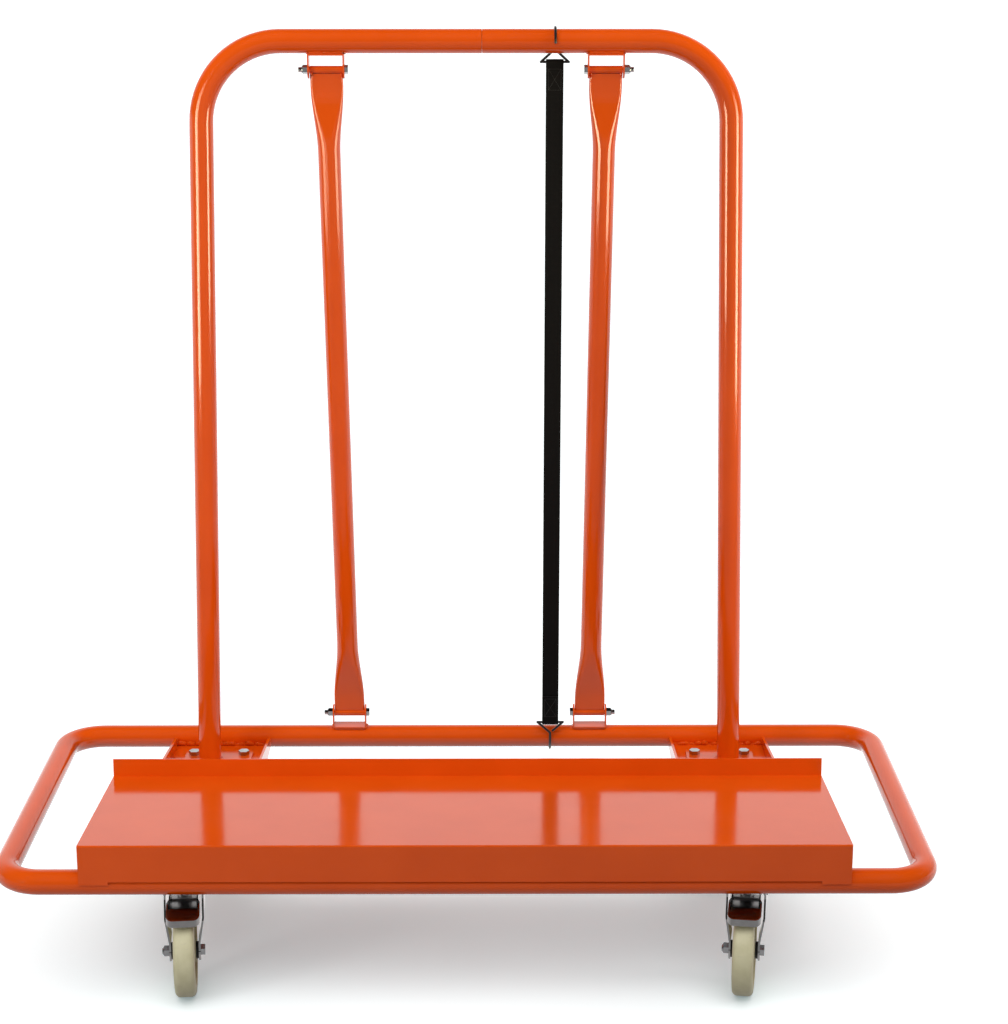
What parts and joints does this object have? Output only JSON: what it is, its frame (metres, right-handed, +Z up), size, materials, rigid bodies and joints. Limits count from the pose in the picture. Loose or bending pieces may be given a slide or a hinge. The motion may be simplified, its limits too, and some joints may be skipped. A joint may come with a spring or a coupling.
{
  "type": "drywall cart",
  "caption": "Panel cart with a tube base on swivel casters, a tilted sheet deck with lips, a braced upright tube frame to lean boards on, and a hooked load strap.",
  "frame": {"origin": "on the floor, in the middle of the cart's bounding box", "axes": "+X to the right along the deck, +Y to the back of the cart, +Z up; boards load from -Y"},
  "size_m": [1.43, 0.6756, 1.4178],
  "materials": {
    "orange_paint": "gloss",
    "chromed_steel": "polished",
    "zinc_steel": "zinc plated",
    "bare_steel": "satin",
    "cream_nylon": "satin",
    "black_plastic": "matt",
    "black_webbing": "woven",
    "black_coated_wire": "coated wire"
  },
  "bodies": {
    "frame": {"base_loop": "orange_paint", "cross_channel_left": "orange_paint", "cross_channel_right": "orange_paint", "deck": "orange_paint", "upright_left": "orange_paint", "upright_right": "orange_paint", "frame_spigot": "bare_steel", "foot_plate_left": "orange_paint", "foot_plate_right": "orange_paint", "top_bracket_left": "orange_paint", "top_bracket_right": "orange_paint", "rear_bracket_left": "orange_paint", "rear_bracket_right": "orange_paint", "brace_left": "orange_paint", "brace_right": "orange_paint", "brace_bushes": "orange_paint", "pivot_bolts": "zinc_steel", "pivot_nuts": "zinc_steel", "plate_bolts": "zinc_steel", "plate_nuts": "zinc_steel", "kingpins": "bare_steel", "swivel_balls": "bare_steel", "caster_plate_front_left": "chromed_steel", "caster_plate_front_right": "chromed_steel", "caster_plate_rear_left": "chromed_steel", "caster_plate_rear_right": "chromed_steel", "strap_webbing": "black_webbing", "strap_hook_top": "black_coated_wire", "strap_hook_bottom": "black_coated_wire"},
    "swivel_front_left": {"fork_front_left": "chromed_steel", "wheel_bush_front_left": "bare_steel", "hub_discs_front_left": "black_plastic", "axle_front_left": "zinc_steel", "pedal_pin_left": "bare_steel"},
    "wheel_front_left": {"wheel_front_left": "cream_nylon"},
    "pedal_left": {"brake_pedal_left": "chromed_steel"},
    "swivel_front_right": {"fork_front_right": "chromed_steel", "wheel_bush_front_right": "bare_steel", "hub_discs_front_right": "black_plastic", "axle_front_right": "zinc_steel", "pedal_pin_right": "bare_steel"},
    "wheel_front_right": {"wheel_front_right": "cream_nylon"},
    "pedal_right": {"brake_pedal_right": "chromed_steel"},
    "swivel_rear_left": {"fork_rear_left": "chromed_steel", "wheel_bush_rear_left": "bare_steel", "hub_discs_rear_left": "black_plastic", "axle_rear_left": "zinc_steel"},
    "wheel_rear_left": {"wheel_rear_left": "cream_nylon"},
    "swivel_rear_right": {"fork_rear_right": "chromed_steel", "wheel_bush_rear_right": "bare_steel", "hub_discs_rear_right": "black_plastic", "axle_rear_right": "zinc_steel"},
    "wheel_rear_right": {"wheel_rear_right": "cream_nylon"}
  },
  "joints": [
    {"name": "swivel_front_left", "type": "hinge", "parent": "frame", "child": "swivel_front_left", "pos_m": [-0.43, -0.22551, 0.162], "axis": [0, 0, 1], "continuous": true},
    {"name": "spin_front_left", "type": "hinge", "parent": "swivel_front_left", "child": "wheel_front_left", "pos_m": [-0.42597, -0.26731, 0.07], "axis": [0.9954, 0.0958, 0], "continuous": true},
    {"name": "press_pedal_left", "type": "hinge", "parent": "swivel_front_left", "child": "pedal_left", "pos_m": [-0.42847, -0.24143, 0.155], "axis": [0.9954, 0.0958, 0], "range_deg": [0, 5]},
    {"name": "swivel_front_right", "type": "hinge", "parent": "frame", "child": "swivel_front_right", "pos_m": [0.43, -0.22551, 0.162], "axis": [0, 0, 1], "continuous": true},
    {"name": "spin_front_right", "type": "hinge", "parent": "swivel_front_right", "child": "wheel_front_right", "pos_m": [0.42343, -0.26699, 0.07], "axis": [0.9877, -0.1564, 0], "continuous": true},
    {"name": "press_pedal_right", "type": "hinge", "parent": "swivel_front_right", "child": "pedal_right", "pos_m": [0.4275, -0.24131, 0.155], "axis": [0.9877, -0.1564, 0], "range_deg": [0, 5]},
    {"name": "swivel_rear_left", "type": "hinge", "parent": "frame", "child": "swivel_rear_left", "pos_m": [-0.43, 0.21049, 0.162], "axis": [0, 0, 1], "continuous": true},
    {"name": "spin_rear_left", "type": "hinge", "parent": "swivel_rear_left", "child": "wheel_rear_left", "pos_m": [-0.43439, 0.16872, 0.07], "axis": [0.9945, -0.1045, 0], "continuous": true},
    {"name": "swivel_rear_right", "type": "hinge", "parent": "frame", "child": "swivel_rear_right", "pos_m": [0.43, 0.21049, 0.162], "axis": [0, 0, 1], "continuous": true},
    {"name": "spin_rear_right", "type": "hinge", "parent": "swivel_rear_right", "child": "wheel_rear_right", "pos_m": [0.43729, 0.16913, 0.07], "axis": [0.9848, 0.1736, 0], "continuous": true}
  ]
}
